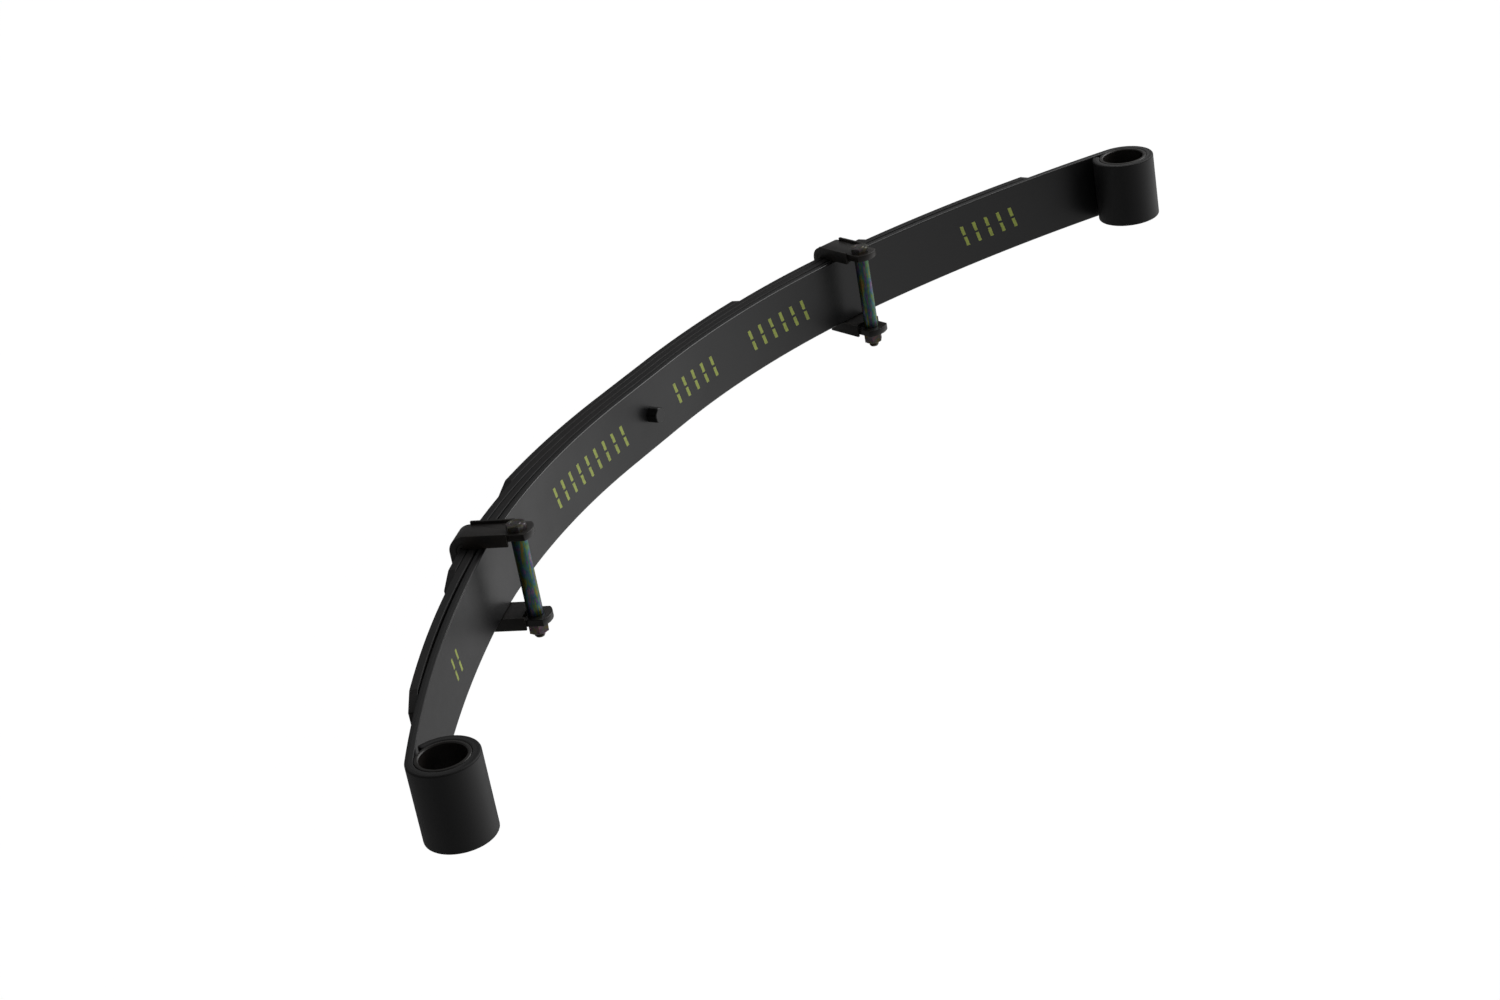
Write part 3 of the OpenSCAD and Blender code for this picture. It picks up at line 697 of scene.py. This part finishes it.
def zinc_group():
    """Yellow-passivated zinc: a thin film whose tint runs through olive, green, teal, violet and gold."""
    tree = bpy.data.node_groups.new("passivated_zinc", "ShaderNodeTree")
    group_input(tree, "Where", "NodeSocketVector")
    group_input(tree, "Stretch", "NodeSocketVector", (1.0, 0.25, 1.0))
    group_input(tree, "Scale", "NodeSocketFloat", 120.0)
    group_input(tree, "Soot", "NodeSocketFloat", 0.3)
    group_input(tree, "Dull", "NodeSocketFloat", 0.0)
    group_input(tree, "Dull colour", "NodeSocketColor", (0.1, 0.085, 0.075, 1))
    for name, kind in SURFACE_OUTPUTS:
        tree.interface.new_socket(name, in_out="OUTPUT", socket_type=kind)
    given = tree.nodes.new("NodeGroupInput").outputs
    made = tree.nodes.new("NodeGroupOutput").inputs
    scaled = tree.nodes.new("ShaderNodeVectorMath")
    scaled.operation = "MULTIPLY"
    tree.links.new(given["Where"], scaled.inputs[0])
    tree.links.new(given["Stretch"], scaled.inputs[1])
    film = noise(tree, scaled.outputs[0], given["Scale"], 5.0, 0.62)
    ramp = tree.nodes.new("ShaderNodeValToRGB")
    tints = ((0.33, (0.34, 0.16, 0.05)), (0.39, (0.30, 0.26, 0.05)), (0.44, (0.17, 0.26, 0.06)),
             (0.49, (0.05, 0.27, 0.17)), (0.53, (0.04, 0.19, 0.32)), (0.57, (0.09, 0.10, 0.32)),
             (0.61, (0.32, 0.13, 0.27)), (0.65, (0.30, 0.28, 0.25)), (0.70, (0.12, 0.28, 0.16)))
    stops = ramp.color_ramp.elements
    stops[0].position, stops[0].color = tints[0][0], (*tints[0][1], 1)
    stops[1].position, stops[1].color = tints[-1][0], (*tints[-1][1], 1)
    for place, colour in tints[1:-1]:
        stops.new(place).color = (*colour, 1)
    tree.links.new(film, ramp.inputs[0])
    tint = mixed(tree, given["Dull"], ramp.outputs[0], given["Dull colour"])
    soot = spread(tree, noise(tree, given["Where"], 210.0, 4.0, 0.65), 0.4, 0.72)
    soot = maths(tree, "MULTIPLY", soot, given["Soot"])
    tree.links.new(mixed(tree, soot, tint, (0.012, 0.011, 0.01)), made["Colour"])
    rough = maths(tree, "MULTIPLY_ADD", soot, 0.25, spread(tree, film, 0.3, 0.7, 0.27, 0.4))
    tree.links.new(rough, made["Roughness"])
    tree.links.new(noise(tree, given["Where"], 900.0, 3.0), made["Height"])
    return tree


ZINC = zinc_group()


def zinc(name, scale, soot, stretch=(1.0, 0.25, 1.0), dull=0.0, dull_colour=(0.1, 0.085, 0.075)):
    material, tree, shader = new_material(name, metallic=0.85)
    plate = tree.nodes.new("ShaderNodeGroup")
    plate.node_tree = ZINC
    tree.links.new(object_place(tree), plate.inputs["Where"])
    plate.inputs["Stretch"].default_value = stretch
    plate.inputs["Scale"].default_value = scale
    plate.inputs["Soot"].default_value = soot
    plate.inputs["Dull"].default_value = dull
    plate.inputs["Dull colour"].default_value = (*dull_colour, 1)
    tree.links.new(plate.outputs["Colour"], shader.inputs["Base Color"])
    tree.links.new(plate.outputs["Roughness"], shader.inputs["Roughness"])
    relief(tree, shader, plate.outputs["Height"], 0.03 * MM)
    return material


tube_zinc = zinc("spacer_zinc", 300.0, 0.35, (1.0, 0.16, 1.0), 0.2, (0.2, 0.17, 0.08))
bolt_zinc = zinc("bolt_zinc", 160.0, 0.55, (1.0, 1.0, 1.0), 0.85, (0.15, 0.122, 0.108))
nut_zinc = zinc("nut_zinc", 150.0, 0.55, (1.0, 1.0, 1.0), 0.7, (0.19, 0.105, 0.08))

TUBE_OUTER, TUBE_INNER = 7.25 * MM, 5.3 * MM
HEX_CORNER = 9.82 * MM
# How far each head and nut was turned when it was pulled up, in degrees.
HEX_TURNS = {"front": (32.4, 24.6), "rear": (12.6, 38.4)}
for end in ("front", "rear"):
    arm = f"{end}_arm"
    strap = dressed(f"{end}_strap", f"{end}_clip_strap", 0.5 * MM, strap_paint)
    liner = dressed(f"{end}_liner", f"{end}_clip_liner", 0.45 * MM, liner_plastic, 2)
    rivet = dressed(f"{end}_rivet", f"{end}_clip_rivet", 0.25 * MM, strap_paint, 2)
    tube_low, tube_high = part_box(f"{end}_clip_spacer")
    x, z = (tube_low.x + tube_high.x) / 2, (tube_low.z + tube_high.z) / 2
    rings = tube_rings(TUBE_OUTER, TUBE_INNER, tube_high.y - tube_low.y, 0.35 * MM, 0.4 * MM)
    spacer = turned(f"{end}_spacer", rings, 64, tube_zinc, closed=True)
    laid_across(spacer, x, z)
    strap_low, strap_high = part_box(f"{end}_clip_strap")
    bolt_low, bolt_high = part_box(f"{end}_clip_bolt")
    head_turn, nut_turn = (math.radians(a) for a in HEX_TURNS[end])
    long = bolt_high.y - bolt_low.y
    head_tall = bolt_high.y - strap_high.y
    thread_from = bolt_high.y - strap_low.y - 4 * MM
    rings = [(0, 4.4 * MM), (0.35 * MM, 4.9 * MM), (0, 5.5 * MM), (0, 7.4 * MM),
             (0.35 * MM, capped(HEX_FLATS, 8.35 * MM)), (1.0 * MM, capped(HEX_FLATS, HEX_CORNER)),
             (head_tall - 0.3 * MM, capped(HEX_FLATS, HEX_CORNER)),
             (head_tall, capped(HEX_FLATS, 9.5 * MM)), (head_tall, SHANK), (thread_from, SHANK)]
    rings += threaded(SHANK, thread_from + 0.1 * MM, long - 1 * MM) + [(long, POINT)]
    bolt = turned(f"{end}_bolt", rings, 96, bolt_zinc, HEX_SHARP)
    laid_across(bolt, x, z, bolt_high.y, head_turn, heads_up=False)
    nut_low, nut_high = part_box(f"{end}_clip_nut")
    rings = nut_rings(HEX_FLATS, NUT_BORE, nut_high.y - nut_low.y)
    nut = turned(f"{end}_nut", rings, 96, nut_zinc, HEX_SHARP, closed=True)
    laid_across(nut, x, z, nut_low.y, nut_turn)
    for piece, node, slot in ((strap, "strap", "clip_paint"), (liner, "liner", "liner_plastic"),
                              (rivet, "rivet", "clip_paint"), (spacer, "spacer", "yellow_zinc"),
                              (bolt, "bolt", "dark_zinc"), (nut, "nut", "dark_zinc")):
        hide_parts(f"{end}_clip_{node}")
        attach(piece, arm)


# ---- Floor and light ----
# A pale seamless floor just under the centre bolt's end, a room that is brightest on one side, and one soft
# round panel for the edges. Floor and room look white, and stay grey to what they light, so that the black
# paint keeps its depth.
FLOOR_HALF = 20.0
FLOOR_GREY = 0.45
FLOOR_GLOW = 1.03
FLOOR_GLOW_SHARE = 0.97
floor_z = cad_low.z - 0.6 * MM
corners = [(x * FLOOR_HALF, y * FLOOR_HALF, floor_z) for x, y in ((-1, -1), (1, -1), (1, 1), (-1, 1))]
floor_mesh = bpy.data.meshes.new("floor")
floor_mesh.from_pydata(corners, [], [(0, 1, 2, 3)])
floor_paint, tree, shader = new_material("pale_floor")
shader.inputs["Base Color"].default_value = (FLOOR_GREY, FLOOR_GREY, FLOOR_GREY, 1)
shader.inputs["Roughness"].default_value = 0.9
shader.inputs["Specular IOR Level"].default_value = 0.0
glow = tree.nodes.new("ShaderNodeEmission")
glow.inputs["Strength"].default_value = FLOOR_GLOW
both = tree.nodes.new("ShaderNodeMixShader")
seen = tree.nodes.new("ShaderNodeLightPath")
tree.links.new(maths(tree, "MULTIPLY", seen.outputs["Is Camera Ray"], FLOOR_GLOW_SHARE), both.inputs[0])
tree.links.new(shader.outputs[0], both.inputs[1])
tree.links.new(glow.outputs[0], both.inputs[2])
finish = next(n for n in tree.nodes if n.type == "OUTPUT_MATERIAL")
tree.links.new(both.outputs[0], finish.inputs["Surface"])
floor = new_object("floor", floor_mesh, floor_paint)

# The room's strength goes from dark, behind, through dim to bright in this direction.
BRIGHT_SIDE = (0.80, -0.48, 0.36)
ROOM_DARK, ROOM_DIM, ROOM_BRIGHT = 0.10, 0.33, 0.98
world = bpy.data.worlds.new("studio")
world.use_nodes = True
tree = world.node_tree
tree.nodes.clear()
room = tree.nodes.new("ShaderNodeBackground")
way = tree.nodes.new("ShaderNodeVectorMath")
way.operation = "DOT_PRODUCT"
tree.links.new(tree.nodes.new("ShaderNodeTexCoord").outputs["Generated"], way.inputs[0])
way.inputs[1].default_value = BRIGHT_SIDE
half_lit = spread(tree, way.outputs["Value"], -0.6, 0.4, ROOM_DARK, ROOM_DIM)
full_lit = spread(tree, way.outputs["Value"], 0.4, 1.0, 0.0, ROOM_BRIGHT - ROOM_DIM)
tree.links.new(maths(tree, "ADD", half_lit, full_lit), room.inputs["Strength"])
white = tree.nodes.new("ShaderNodeBackground")
white.inputs["Color"].default_value = (1, 1, 1, 1)
seen = tree.nodes.new("ShaderNodeLightPath")
both = tree.nodes.new("ShaderNodeMixShader")
tree.links.new(seen.outputs["Is Camera Ray"], both.inputs[0])
tree.links.new(room.outputs[0], both.inputs[1])
tree.links.new(white.outputs[0], both.inputs[2])
out = tree.nodes.new("ShaderNodeOutputWorld")
tree.links.new(both.outputs[0], out.inputs[0])
scene.world = world

PANEL_PLACE = Vector((2.4, 1.9, 1.4))
PANEL_ACROSS = 2.6
PANEL_WATTS = 50
light = bpy.data.lights.new("edge_panel", "AREA")
light.shape = "DISK"
light.size = PANEL_ACROSS
light.energy = PANEL_WATTS
lamp = bpy.data.objects.new("edge_panel", light)
scene.collection.objects.link(lamp)
lamp.location = PANEL_PLACE
lamp.rotation_mode = "QUATERNION"
lamp.rotation_quaternion = (-PANEL_PLACE).to_track_quat("-Z", "Y")
